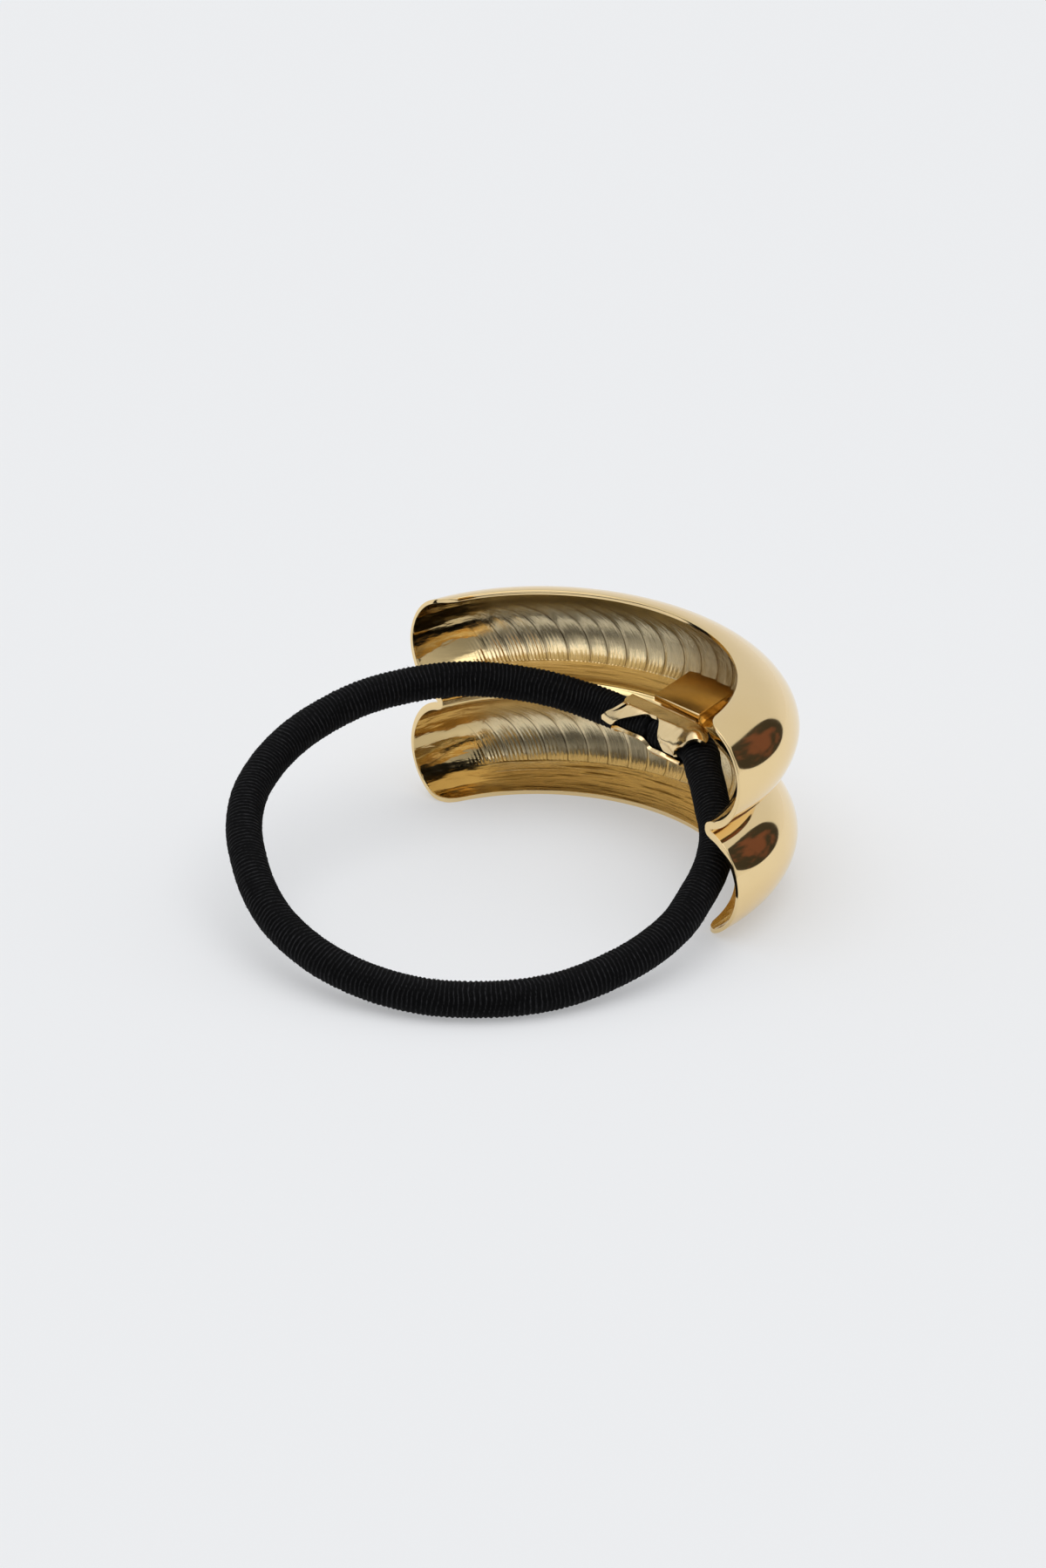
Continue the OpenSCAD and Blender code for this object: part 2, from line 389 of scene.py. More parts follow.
def milled_depth(u, v, lobe):
    """How far the cutter has sunk into the inside of the wall: ever deeper over a pass, then back up."""
    passes, h = cutter_place(u, v, lobe)
    waver = 0.06 * noise.noise(Vector((u * 0.6, lobe * 7, 0)))
    strip = eased(h + waver, -0.02, 0.4) * (1 - eased(h, 4.5, 8)) * (1 - eased(abs(u), 27, 31))
    share = passes - math.floor(passes)
    sunk = share / (1 - PASS_EDGE) if share < 1 - PASS_EDGE else (1 - share) / PASS_EDGE
    depth = PASS_DEPTH * (0.9 + 0.6 * noise.noise(Vector((math.floor(passes) * 3.7, lobe * 11, 1))))
    return strip * (0.03 + depth * sunk ** 2)


def ridge_swell(u, v, lobe):
    """How far the upper side of the ridge swells into the upper lobe, on both sides of the plate."""
    beside_plate = eased(abs(u), 3, 6) * (1 - eased(abs(u), 24, 31))
    return SWELL * lobe * math.exp(-((v - SWELL_MIDDLE) / SWELL_SPREAD) ** 2) * beside_plate


def lofted_sheet(section, milled):
    """A grid laid along the cuff, with one row of its points for each point of the section."""
    rows = len(section) - 1
    bpy.ops.mesh.primitive_grid_add(x_subdivisions=ALONG_STEPS, y_subdivisions=rows, size=2)
    sheet = active()
    heights = [0]
    for (wa, za), (wb, zb) in zip(section, section[1:]):
        heights.append(heights[-1] + math.hypot((wb - wa) * CREST_BACK, zb - za))
    half = (heights[lobe_rows - 1] + heights[lobe_rows]) / 2
    places = []
    for vert in sheet.data.vertices:
        i, row = round((vert.co.x + 1) / 2 * ALONG_STEPS), round((vert.co.y + 1) / 2 * rows)
        lobe = row >= lobe_rows
        places.append((along_share(i) * ARC_MM, heights[row] - half * lobe, lobe))
        vert.co = shell_point(*section[row], backs[row], along_share(i))
    if milled:
        crest = min(sheet.data.vertices, key=lambda v: abs(v.co.x) - v.co.y)
        turn = 1 if crest.normal.y > 0 else -1
        normals = [v.normal * turn for v in sheet.data.vertices]
        for vert, normal, place in zip(sheet.data.vertices, normals, places):
            vert.co += normal * (milled_depth(*place) - ridge_swell(*place)) * MM
    uv, cut = sheet.data.uv_layers[0], sheet.data.uv_layers.new(name="cutter_passes")
    uv.name = "sheet_mm"
    for loop in sheet.data.loops:
        u, v, lobe = places[loop.vertex_index]
        uv.data[loop.index].uv = u, v
        cut.data[loop.index].uv = cutter_place(u, v, lobe)
    return sheet


outer_sheet, inner_sheet = lofted_sheet(outer_section, False), lofted_sheet(inner_section, True)
bpy.ops.object.select_all(action="DESELECT")
inner_sheet.select_set(True)
outer_sheet.select_set(True)
bpy.context.view_layer.objects.active = outer_sheet
bpy.ops.object.join()
cuff = active()
bpy.ops.object.mode_set(mode="EDIT")
bpy.ops.mesh.select_all(action="DESELECT")
bpy.ops.mesh.select_mode(type="EDGE")
bpy.ops.mesh.select_non_manifold()
bpy.ops.mesh.bridge_edge_loops()
bpy.ops.mesh.select_all(action="SELECT")
bpy.ops.mesh.normals_make_consistent(inside=False)
bpy.ops.mesh.select_all(action="DESELECT")
bpy.ops.object.mode_set(mode="OBJECT")

# The lips are the faces that join the two sheets, which come after theirs; their edges are rounded
sheet_faces = 2 * ALONG_STEPS * (len(outer_section) - 1)
sides_of = {}
# Material 0 is the polish of the outside and the lips, and material 1 the milled inside
cuff.data.materials.append(None)
cuff.data.materials.append(None)
for face in cuff.data.polygons:
    face.material_index = int(sheet_faces / 2 <= face.index < sheet_faces)
    for key in face.edge_keys:
        sides_of.setdefault(key, set()).add(face.index >= sheet_faces)
for edge in cuff.data.edges:
    edge.select = len(sides_of[edge.key]) == 2
bpy.ops.object.mode_set(mode="EDIT")
bpy.ops.mesh.bevel(offset=LIP_R * MM, segments=4, affect="EDGES", clamp_overlap=True)
bpy.ops.object.mode_set(mode="OBJECT")
cuff.data.shade_smooth()
cuff = settled(cuff, "cuff_sheet")
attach(cuff, "root")
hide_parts("cuff_shell")


# ---------------------------------------------------------------- plate inside the upper lobe

PLATE_W, PLATE_T, PLATE_RISE, PLATE_OVERHANG = 7, 0.8, 12, 0.5
PLATE_EDGE_R, FLANGE_T, FLANGE_DROP = 0.13, 0.6, 0.8
plate_front_y = RIM_HALF_D - CENTRE_Y - PLATE_OVERHANG
plate_low_z = CUFF_H / 2 + RIDGE_HALF + 0.35
plate_l = CREST_BACK - SHELL_WALL / 2 - PLATE_OVERHANG


def plate_bar(width, middle_x, thick, low_z, front_y, length, low_rise):
    """A bar with rounded edges. Its top rises to the back as the plate's does, its underside by low_rise."""
    bpy.ops.mesh.primitive_cube_add(size=MM)
    bar = active()
    bpy.ops.object.mode_set(mode="EDIT")
    bpy.ops.transform.resize(value=(width, length, thick))
    bpy.ops.mesh.bevel(offset=PLATE_EDGE_R * MM, segments=3, affect="EDGES")
    middle_z = (low_z + thick / 2) * MM
    bpy.ops.transform.translate(value=(middle_x * MM, (front_y + length / 2) * MM, middle_z))
    bpy.ops.object.mode_set(mode="OBJECT")
    top_rise = math.tan(math.radians(PLATE_RISE))
    for vert in bar.data.vertices:
        vert.co.z += (top_rise if vert.co.z > middle_z else low_rise) * (vert.co.y - plate_front_y * MM)
    return bar


# The plate's right side is turned down to the ridge
flange = plate_bar(
    width=FLANGE_T, middle_x=PLATE_W / 2 - 0.04 - FLANGE_T / 2, thick=PLATE_T - 0.1 + FLANGE_DROP,
    low_z=plate_low_z - FLANGE_DROP, front_y=plate_front_y + 0.04, length=4.4, low_rise=0.35)
plate = plate_bar(
    width=PLATE_W, middle_x=0, thick=PLATE_T, low_z=plate_low_z,
    front_y=plate_front_y, length=plate_l, low_rise=0.28)
bpy.ops.object.select_all(action="DESELECT")
flange.select_set(True)
plate.select_set(True)
bpy.context.view_layer.objects.active = plate
bpy.ops.object.join()
plate.data.shade_smooth()
bpy.ops.object.select_all(action="DESELECT")
plate.select_set(True)
bpy.ops.object.shade_smooth_by_angle(angle=math.radians(30))
plate = settled(plate, "seat_plate")
# Only its front edge is polished
for face in plate.data.polygons:
    face.material_index = int(face.center.y < (plate_front_y + 0.15) * MM)
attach(plate, "root")


# ---------------------------------------------------------------- folded crimp

CRIMP_Y, CRIMP_Z, CRIMP_R, CRIMP_T = 1.21, 12.2, 2.5, 0.4
# Its top is pressed flat, at this height above its middle, and how much its lower half is pinched
CRIMP_FLAT, CRIMP_PINCH = 2.3, 0.5
CRIMP_COLUMNS, CRIMP_ROWS = 60, 90
# Past this place the right mouth bends forwards and down, ever more: by how much, a millimetre on
MOUTH_BEND, MOUTH_FORWARD, MOUTH_DOWN = 5.8, 0.166, 0.098
# The open slit beside the left mouth: its middle column, its middle and its half length in degrees
SLIT_COLUMN, SLIT_UP, SLIT_HALF = 3, 53, 19

# The sheet's four edges, in millimetres along the cord and degrees up from the front. The two
# long ones give an angle for each place along, and the two mouths a place along for each angle
TOP_EDGE = [
    (-6.4, 4), (-5.4, 0), (-4.9, -5), (-4.6, -5), (-4.2, 8), (-3.6, 20), (-2.5, 34), (-1.5, 47),
    (-1.1, 55), (-0.4, 64), (0.3, 69), (0.8, 69), (1.2, 65), (1.6, 58), (2, 45), (2.3, 27), (2.6, 12),
    (2.8, -2), (3, -13), (3.3, -18), (4, -18), (4.6, -16), (5.2, -13), (9, -12)]
LOW_EDGE = [
    (-6.4, -14), (-5.4, -16), (-4.9, -24), (-4.3, -31), (-3.4, -34), (-2.4, -29), (-1.5, -22),
    (-0.8, -17), (-0.2, -20), (0.2, -27), (0.6, -31), (1.4, -31), (2.6, -31), (3.2, -33), (4.1, -38),
    (5, -42), (9, -46)]
LEFT_EDGE = [
    (-35, -4.9), (-20, -5), (-8, -5.3), (3, -6), (12, -6.1), (20, -5.7), (28, -5.4), (37, -4.9),
    (46, -4.6), (56, -4.35), (67, -4.2), (82, -4.7), (106, -4.9), (130, -5.3), (180, -5.6),
    (260, -5.2), (300, -4.8), (330, -4.9)]
RIGHT_EDGE = [
    (-40, 5), (-20, 5), (-3, 5.2), (10, 5.35), (17, 5.7), (25, 6.2), (36, 6.7), (47, 7.2), (59, 7.6),
    (71, 8), (85, 8.5), (96, 8.7), (104, 8.3), (112, 7.2), (122, 6.4), (150, 5.8), (270, 5.5), (340, 5)]
# The crease above the small fold beside the hole
FOLD_EDGE = [(2.5, 30), (3, 15), (3.9, 12), (4.5, 6.5), (4.9, 2), (5.1, -12)]


def crimp_place(share_along, share_round):
    """Where shares of the sheet's length and way round lie. The way round goes over the back."""
    x, up = -5.7 + 11.4 * share_along, 180
    for _ in range(40):
        top, low = between(x, TOP_EDGE), between(x, LOW_EDGE) + 360
        up = between(share_round, [(0, top), (0.32, 112), (0.7, 250), (1, low)])
        left, right = between(up, LEFT_EDGE), between(up, RIGHT_EDGE)
        x = 0.7 * x + 0.3 * (left + (right - left) * share_along)
    return x, up


def crimp_radius(x, up):
    """How far the sheet's outside is from the cord's middle line, with its dents, fold and flat top."""
    flare = (0.1 * eased(x, 3.9, 5) + 0.5 * eased(x, 4.9, 7.2)) * (1 - eased(up, 75, 125))
    dent = 0.1 * eased(up, 130, 80) * math.exp(-((x - 0.4) / 1.5) ** 2)
    left_lift = 0.12 * eased(x, -4.2, -5.6) * (1 - eased(up, 70, 110))
    fold = 0.26 * eased(x, 2.5, 2.8) * eased(between(x, FOLD_EDGE) - up, 0, 7)
    back = 0.3 * eased(up, 70, 110) * (1 - eased(up, 130, 160))
    back *= eased(x, 5.2, 6.2) * (1 - eased(x, 6.6, 8.4))
    flat = max(0, CRIMP_R - CRIMP_FLAT / max(0.5, math.sin(math.radians(up))))
    flat *= 1 - 0.6 * eased(x, 5, 8)
    return CRIMP_R + flare - dent + left_lift - fold - back - flat


bpy.ops.mesh.primitive_grid_add(x_subdivisions=CRIMP_COLUMNS, y_subdivisions=CRIMP_ROWS, size=2)
crimp = active()
places = []
for vert in crimp.data.vertices:
    share_along, share_round = (vert.co.x + 1) / 2, (vert.co.y + 1) / 2
    x, up = crimp_place(share_along, share_round)
    places.append((x, up, CRIMP_COLUMNS * share_along))
    r, a = crimp_radius(x, up), math.radians(up)
    rise = r * math.sin(a)
    rise *= 1 - CRIMP_PINCH * pinched(x) if rise < 0 else 1
    bend = max(0, x - MOUTH_BEND) ** 2
    y, z = CRIMP_Y - r * math.cos(a) - MOUTH_FORWARD * bend, CRIMP_Z + rise - MOUTH_DOWN * bend
    vert.co = Vector((x, y, z)) * MM
crimp_uv = crimp.data.uv_layers[0]
crimp_uv.name = "sheet_mm"
for loop in crimp.data.loops:
    x, up = places[loop.vertex_index][:2]
    crimp_uv.data[loop.index].uv = x, math.radians(up) * CRIMP_R
bpy.ops.object.mode_set(mode="EDIT")
bpy.ops.mesh.select_mode(type="FACE")
bpy.ops.mesh.select_all(action="DESELECT")
bpy.ops.object.mode_set(mode="OBJECT")
for face in crimp.data.polygons:
    up, column = (sum(places[i][k] for i in face.vertices) / 4 for k in (1, 2))
    aside = abs(column - SLIT_COLUMN)
    face.select = aside < 1.2 and abs(up - SLIT_UP) < SLIT_HALF - 5 * aside
bpy.ops.object.mode_set(mode="EDIT")
bpy.ops.mesh.delete(type="FACE")
bpy.ops.object.mode_set(mode="OBJECT")
solid = crimp.modifiers.new("wall", "SOLIDIFY")
solid.thickness = CRIMP_T * MM
solid.offset = -1
rounded = crimp.modifiers.new("edges", "BEVEL")
rounded.width = 0.09 * MM
rounded.segments = 2
rounded.limit_method = "ANGLE"
rounded.angle_limit = math.radians(50)
smooth = crimp.modifiers.new("smooth", "SUBSURF")
smooth.levels = smooth.render_levels = 1
apply_modifiers(crimp)
crimp.data.shade_smooth()
crimp = settled(crimp, "crimp_sleeve")
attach(crimp, "root")
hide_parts("cord_crimp")


# ---------------------------------------------------------------- materials

SMOOTH = {"interpolation_type": "SMOOTHSTEP"}

# Brass, plated pale gold and polished: an almost clean mirror with a faint orange-peel wave, 3 mm
# long, and a haze in patches of 7 mm
gold, tree = new_material("polished pale gold plating on brass")
place = add(tree, "ShaderNodeTexCoord").outputs["Object"]
haze = add(tree, "ShaderNodeTexNoise", {"Vector": place, "Scale": 140, "Detail": 4})
wave = add(tree, "ShaderNodeTexNoise", {"Vector": place, "Scale": 330, "Detail": 1})
shader = add(tree, "ShaderNodeBsdfPrincipled", {
    "Base Color": add(tree, "ShaderNodeMix", (haze, linear("#F5DBA8"), linear("#EFD29B")), data_type="RGBA"),
    "Metallic": 1,
    "Roughness": add(tree, "ShaderNodeMapRange", (haze, 0.3, 0.7, 0.05, 0.1), **SMOOTH),
    "Normal": add(tree, "ShaderNodeBump", {"Height": wave, "Distance": 0.006 * MM})})
add(tree, "ShaderNodeOutputMaterial", {"Surface": shader})

# The inside of the brass, plated over its working marks: satin where the cutter has milled it,
# dull and drawn lengthwise below that strip, and polished only near the ends. Painted shade and
# warm inter-reflection darken the colour of the wall below the strip
milled, tree = new_material("gold plating on milled brass")
place = add(tree, "ShaderNodeTexCoord").outputs["Object"]
above_table = add(tree, "ShaderNodeSeparateXYZ", {"Vector": place}).outputs["Z"]
sheet_uv = add(tree, "ShaderNodeUVMap", uv_map="sheet_mm")
cutter_uv = add(tree, "ShaderNodeUVMap", uv_map="cutter_passes")
along = add(tree, "ShaderNodeSeparateXYZ", {"Vector": sheet_uv}).outputs["X"]
from_middle = add(tree, "ShaderNodeMath", (along,), operation="ABSOLUTE")
cut = add(tree, "ShaderNodeSeparateXYZ", {"Vector": cutter_uv})
passes, height = cut.outputs["X"], cut.outputs["Y"]
# Noise drawn out one way: scratches and tears along the cutter's way, lines 0.4 mm apart and
# ripples 2 mm apart along the sheet
scratches, torn, drawn, ripple = (
    add(tree, "ShaderNodeTexNoise", {
        "Vector": add(tree, "ShaderNodeMapping", {"Vector": uv, "Scale": scale}),
        "Scale": 1, "Detail": 5, "Roughness": roughness})
    for uv, scale, roughness in (
        (cutter_uv, (4, 0.2, 1), 0.6), (cutter_uv, (3.2, 0.45, 1), 0.6),
        (sheet_uv, (0.1, 2.4, 1), 0.6), (sheet_uv, (0.16, 0.55, 1), 0.35)))
off_ends = add(tree, "ShaderNodeMapRange", (from_middle, 25.5, 32, 1, 0), **SMOOTH)
# 1 in the upper lobe, above the middle of the ridge
upper = add(tree, "ShaderNodeMapRange", (above_table, 12 * MM, 12.6 * MM), **SMOOTH)
# The top of the ridge is rubbed bright on both sides of the plate
beside_plate = add(tree, "ShaderNodeMapRange", (from_middle, 3, 6, 0, upper), **SMOOTH)
rubbed = add(tree, "ShaderNodeMapRange", (height, -3.1, -2.7, beside_plate, 0), **SMOOTH)
unrubbed = add(tree, "ShaderNodeMath", (1, rubbed), operation="SUBTRACT")
rough_part = add(tree, "ShaderNodeMath", (off_ends, unrubbed), operation="MULTIPLY")
wall = add(tree, "ShaderNodeMapRange", (height, -0.05, 0.1, rough_part, 0), **SMOOTH)
strip = add(tree, "ShaderNodeMapRange", (height, 5.5, 8, off_ends, 0), **SMOOTH)
strip = add(tree, "ShaderNodeMapRange", (height, -0.05, 0.1, 0, strip), **SMOOTH)
# The cutter's chatter marks are 0.23 mm apart, which is too fine to show, so there are five to a
# pass, 0.48 mm apart. They are on the strip's lower edge, and at the left end they reach higher
teeth = add(tree, "ShaderNodeMath", (passes, 2 * math.pi * 5), operation="MULTIPLY")
teeth = add(tree, "ShaderNodeMath", (teeth,), operation="SINE")
teeth_left = add(tree, "ShaderNodeMapRange", (height, 2.5, 4, 0.7, 0), **SMOOTH)
teeth_left = add(tree, "ShaderNodeMapRange", (along, -23, -18, teeth_left, 0), **SMOOTH)
teeth_low = add(tree, "ShaderNodeMapRange", (height, 0.4, 1.6, 1, 0), **SMOOTH)
toothed = add(tree, "ShaderNodeMath", (teeth_low, teeth_left), operation="MAXIMUM")
toothed = add(tree, "ShaderNodeMath", (strip, toothed), operation="MULTIPLY")
# Painted shade: each pass ends in a groove, which is painted dark
share = add(tree, "ShaderNodeMath", (passes,), operation="FRACT")
groove_shade = add(tree, "ShaderNodeMath", (0.8, strip), operation="MULTIPLY")
groove_shade = add(tree, "ShaderNodeMapRange", (share, 0.9, 0.95, groove_shade, 0), **SMOOTH)
groove_shade = add(tree, "ShaderNodeMapRange", (share, 0.84, 0.9, 0, groove_shade), **SMOOTH)
# Each mark, where it is and how deep, in millimetres
torn_right = add(tree, "ShaderNodeMapRange", (along, -9, -2, 0, strip), **SMOOTH)
drawn_wall = add(tree, "ShaderNodeMath", (0.5, wall), operation="MULTIPLY")
drawn_wall = add(tree, "ShaderNodeMapRange", (upper, 0, 1, wall, drawn_wall), **SMOOTH)
rippled = add(tree, "ShaderNodeMapRange", (off_ends, 0, 1, 1, 0.35), **SMOOTH)
bumps = {}
for mark, where, depth in (
        (teeth, toothed, 0.022), (scratches, strip, 0.075), (torn, torn_right, 0.16),
        (drawn, drawn_wall, 0.1), (ripple, rippled, 0.2)):
    height_here = add(tree, "ShaderNodeMath", (mark, where), operation="MULTIPLY")
    bumps = {"Normal": add(tree, "ShaderNodeBump", {"Height": height_here, "Distance": depth * MM, **bumps})}
# The dull wall's colour holds painted shade and warm inter-reflection: it is darker and more orange towards
# its bottom, most so at the left and in the lower lobe, and darker along its drawn lines
dull_and_shade = add(tree, "ShaderNodeMath", (
    add(tree, "ShaderNodeMapRange", (height, -1.1, -0.1, wall, 0), **SMOOTH),
    add(tree, "ShaderNodeMapRange", (drawn, 0.3, 0.6, 1, 0.4), **SMOOTH)), operation="MULTIPLY")
less_dull_and_shade = add(tree, "ShaderNodeMath", (
    add(tree, "ShaderNodeMapRange", (upper, 0, 1, 1, 0.5), **SMOOTH),
    add(tree, "ShaderNodeMapRange", (along, -26, -8, 1, 0.3), **SMOOTH)), operation="MULTIPLY")
dull_and_shade = add(tree, "ShaderNodeMath", (dull_and_shade, less_dull_and_shade), operation="MULTIPLY")
lined = add(tree, "ShaderNodeMath", (
    add(tree, "ShaderNodeMapRange", (upper, 0, 1, 1, 0.45), **SMOOTH),
    add(tree, "ShaderNodeMapRange", (drawn, 0.5, 0.64, 0, wall), **SMOOTH)), operation="MULTIPLY")
# Painted dark reflection: where the upper strip is torn on the right, its colour is tinted dark brown
brown = add(tree, "ShaderNodeMapRange", (along, 6, 14, upper, 0), **SMOOTH)
brown = add(tree, "ShaderNodeMapRange", (along, -10, 1, 0, brown), **SMOOTH)
brown = add(tree, "ShaderNodeMath", (brown, strip), operation="MULTIPLY")
brown = add(tree, "ShaderNodeMath", (
    brown, add(tree, "ShaderNodeMapRange", (torn, 0.3, 0.6, 1, 0.75), **SMOOTH)), operation="MULTIPLY")
# The tints over the inside: the milled strip, painted shade and warm inter-reflection on the dull wall and
# along its lines, a painted dark reflection on the torn right end, and painted shade in each groove
tint = linear("#EED39A")
for covered, colour in (
        (strip, "#F4E2B8"), (dull_and_shade, "#CFAC70"), (lined, "#8F703C"), (brown, "#8A7048"), (groove_shade, "#6E5232")):
    tint = add(tree, "ShaderNodeMix", (covered, tint, linear(colour)), data_type="RGBA")
roughness = add(tree, "ShaderNodeMix", (strip, 0.24, 0.27))
roughness = add(tree, "ShaderNodeMix", (rough_part, 0.1, roughness))
shader = add(tree, "ShaderNodeBsdfPrincipled", {
    "Base Color": tint, "Metallic": 1, "Roughness": roughness, **bumps})
add(tree, "ShaderNodeOutputMaterial", {"Surface": shader})

# The plate is blanked from brass sheet and plated unpolished: a deeper, satin gold, with the
# sheet's rolling lines 0.5 mm apart
satin, tree = new_material("satin gold plating on brass sheet")
place = add(tree, "ShaderNodeTexCoord").outputs["Object"]
grain = add(tree, "ShaderNodeTexNoise", {
    "Vector": add(tree, "ShaderNodeMapping", {"Vector": place, "Scale": (300, 2200, 2200)}),
    "Scale": 1, "Detail": 5, "Roughness": 0.5})
shader = add(tree, "ShaderNodeBsdfPrincipled", {
    "Base Color": add(tree, "ShaderNodeMix", (grain, linear("#D8AF68"), linear("#CDA258")), data_type="RGBA"),
    "Metallic": 1, "Roughness": 0.24,
    "Normal": add(tree, "ShaderNodeBump", {"Height": grain, "Distance": 0.01 * MM})})
add(tree, "ShaderNodeOutputMaterial", {"Surface": shader})

cuff.data.materials[0] = gold
cuff.data.materials[1] = milled
plate.data.materials.append(satin)
plate.data.materials.append(gold)

# The crimp is pressed from brushed brass sheet, so its plating shows fine lines, 0.2 mm apart and
# slanted across the cord
brushed, tree = new_material("gold plating on brushed brass sheet")
slanted = add(tree, "ShaderNodeMapping", {
    "Vector": add(tree, "ShaderNodeUVMap", uv_map="sheet_mm"), "Rotation": (0, 0, math.radians(28))})
lines = add(tree, "ShaderNodeTexNoise", {
    "Vector": add(tree, "ShaderNodeMapping", {"Vector": slanted, "Scale": (5, 0.3, 1)}),
    "Scale": 1, "Detail": 5, "Roughness": 0.6})
shader = add(tree, "ShaderNodeBsdfPrincipled", {
    "Base Color": add(tree, "ShaderNodeMix", (lines, linear("#FCE6B8"), linear("#F1D39B")), data_type="RGBA"),
    "Metallic": 1, "Roughness": 0.16,
    "Normal": add(tree, "ShaderNodeBump", {"Height": lines, "Distance": 0.018 * MM})})
add(tree, "ShaderNodeOutputMaterial", {"Surface": shader})
crimp.data.materials.append(brushed)

# Polyester thread wound over a rubber core: deep matt black, with a grey sheen painted on each rib's crest
# and shade painted in the valleys between, broken up by fibres 0.1 mm apart
thread, tree = new_material("black polyester thread winding")
rib = add(tree, "ShaderNodeAttribute", attribute_name="rib_height").outputs["Fac"]
thread_uv = add(tree, "ShaderNodeUVMap", uv_map="thread_mm")
fibres = add(tree, "ShaderNodeTexNoise", {
    "Vector": add(tree, "ShaderNodeMapping", {"Vector": thread_uv, "Scale": (9, 1.6, 1)}),
    "Scale": 1, "Detail": 5, "Roughness": 0.7})
# Painted sheen on the ribs' crests and painted shade in their valleys
lit = add(tree, "ShaderNodeMath", (rib, fibres), operation="MULTIPLY")
lit = add(tree, "ShaderNodeMapRange", (lit, 0.3, 0.62), **SMOOTH)
shader = add(tree, "ShaderNodeBsdfPrincipled", {
    "Base Color": add(tree, "ShaderNodeMix", (lit, linear("#010102"), linear("#323234")), data_type="RGBA"),
    "Roughness": 0.8, "Specular IOR Level": 0.12,
    "Normal": add(tree, "ShaderNodeBump", {"Height": fibres, "Distance": 0.06 * MM})})
add(tree, "ShaderNodeOutputMaterial", {"Surface": shader})
elastic.data.materials.append(thread)


# ---------------------------------------------------------------- floor and light

bpy.ops.mesh.primitive_plane_add(size=12)
floor = active()
floor.name = "floor"
# A white acrylic table, lit a little from below, so that shadows on it stay faint
acrylic, tree = new_material("matt white acrylic table")
shader = add(tree, "ShaderNodeBsdfPrincipled", {
    "Base Color": linear("#BBBCBD"), "Roughness": 0.9, "Specular IOR Level": 0,
    "Emission Color": linear("#EBECEE"), "Emission Strength": 0.42})
add(tree, "ShaderNodeOutputMaterial", {"Surface": shader})
floor.data.materials.append(acrylic)

# Degrees round from the cuff's mouth, and up: the side that is left dim, and the overhead box
DIM_SIDE, OVERHEAD_SIDE, OVERHEAD_UP = 46, 60, 84


def way(azimuth, elevation):
    """The way that points so many degrees round from the cuff's mouth and so many up."""
    a, e = math.radians(azimuth), math.radians(elevation)
    return math.cos(e) * math.sin(a), -math.cos(e) * math.cos(a), math.sin(e)


# A white studio: a broad overhead box, pale walls, and one side that is left dim
world = bpy.data.worlds.new("studio")
scene.world = world
world.use_nodes = True
tree = world.node_tree
tree.nodes.clear()
towards = add(tree, "ShaderNodeTexCoord").outputs["Generated"]
rise = add(tree, "ShaderNodeSeparateXYZ", {"Vector": towards}).outputs["Z"]
to_dim = add(tree, "ShaderNodeVectorMath", (towards, way(DIM_SIDE, 0)), operation="DOT_PRODUCT")
overhead = add(tree, "ShaderNodeVectorMath", (
    towards, way(OVERHEAD_SIDE, OVERHEAD_UP)), operation="DOT_PRODUCT")
walls = add(tree, "ShaderNodeMapRange", (to_dim, -0.1, 0.75, 0.72, 0.28), **SMOOTH)
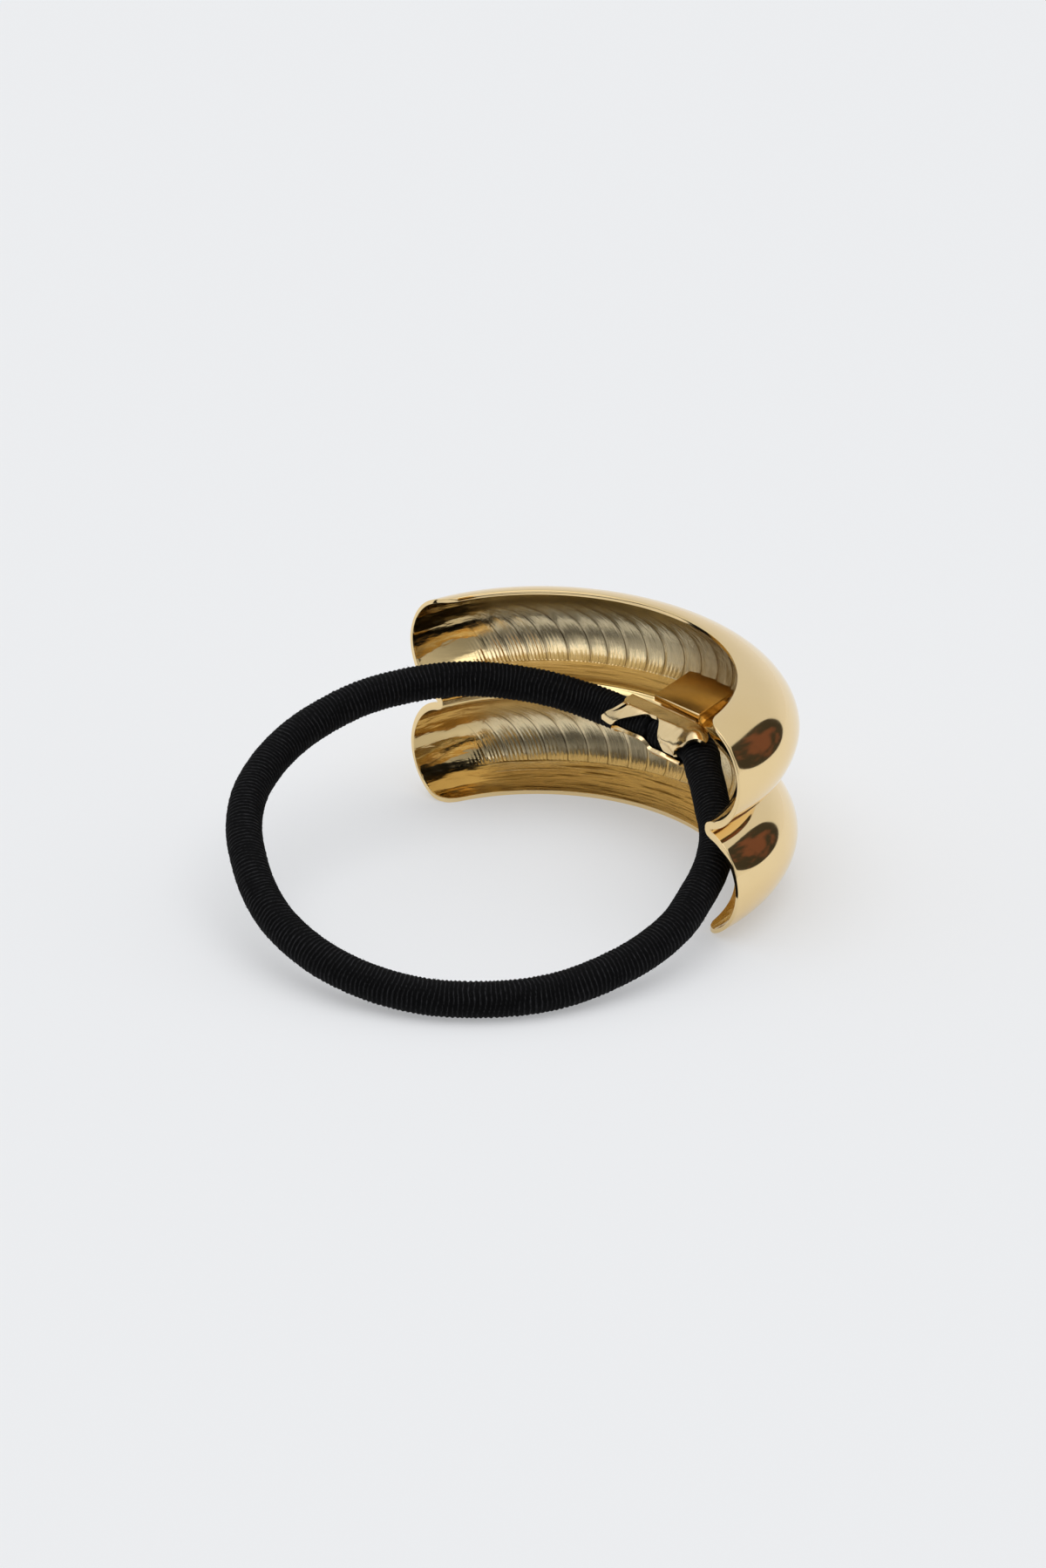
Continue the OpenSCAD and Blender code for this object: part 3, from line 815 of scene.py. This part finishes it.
# The walls run down into the table in a sweep as bright as it is
sweep = add(tree, "ShaderNodeMapRange", (to_dim, -0.1, 0.5, 1, 0), **SMOOTH)
sweep = add(tree, "ShaderNodeMapRange", (rise, 0, 0.4, sweep, 0), **SMOOTH)
walls = add(tree, "ShaderNodeMix", (sweep, walls, 0.82))
studio_light = add(tree, "ShaderNodeMix", (
    add(tree, "ShaderNodeMapRange", (overhead, 0.73, 0.86), **SMOOTH), walls, 1.75))
unlit = add(tree, "ShaderNodeMapRange", (rise, 0.46, 0.64, 1, 0), **SMOOTH)
unlit = add(tree, "ShaderNodeMapRange", (rise, 0.1, 0.26, 0, unlit), **SMOOTH)
unlit = add(tree, "ShaderNodeMapRange", (to_dim, 0.68, 0.86, 0, unlit), **SMOOTH)
studio_light = add(tree, "ShaderNodeMath", (
    studio_light, add(tree, "ShaderNodeMapRange", (unlit, 0, 1, 1, 0.17), **SMOOTH)), operation="MULTIPLY")
sky = add(tree, "ShaderNodeBackground", {"Color": (0.985, 0.99, 1, 1), "Strength": studio_light})
add(tree, "ShaderNodeOutputWorld", {"Surface": sky})

# A dark oval card beside the cuff, which shows only in its polish: its place on the floor, the way
# it faces, half its width and height, and its middle, across and up from its place
CARD_PLACE, CARD_TURN, CARD_HALF, CARD_MIDDLE = (101, 109, 0), 146, (71, 53), (-31, 60)
bpy.ops.mesh.primitive_circle_add(vertices=64, fill_type="NGON")
card = active()
card.name = "dark_card"
card_way = Vector((-math.cos(math.radians(CARD_TURN)), -math.sin(math.radians(CARD_TURN)), 0))
for vert in card.data.vertices:
    across, up = (
        middle + half * math.copysign(abs(c) ** 0.75, c)
        for middle, half, c in zip(CARD_MIDDLE, CARD_HALF, vert.co))
    vert.co = (Vector(CARD_PLACE) + across * card_way + Vector((0, 0, max(0, up)))) * MM
card.visible_camera = card.visible_shadow = card.visible_diffuse = False
felt, tree = new_material("dark brown felt")
place = add(tree, "ShaderNodeTexCoord").outputs["Object"]
nap = add(tree, "ShaderNodeTexNoise", {"Vector": place, "Scale": 40, "Detail": 4})
middle = (Vector(CARD_PLACE) + CARD_MIDDLE[0] * card_way + Vector((0, 0, CARD_MIDDLE[1]))) * MM
reach = add(tree, "ShaderNodeVectorMath", (place, middle), operation="DISTANCE")
worn = add(tree, "ShaderNodeMath", (reach, add(
    tree, "ShaderNodeMath", (nap, 0.14), operation="MULTIPLY")), operation="ADD")
worn = add(tree, "ShaderNodeMapRange", (worn, 0.085, 0.12, 1, 0), **SMOOTH)
shader = add(tree, "ShaderNodeBsdfPrincipled", {
    "Base Color": add(tree, "ShaderNodeMix", (worn, linear("#3E382E"), linear("#805240")), data_type="RGBA"),
    "Roughness": 1})
add(tree, "ShaderNodeOutputMaterial", {"Surface": shader})
card.data.materials.append(felt)
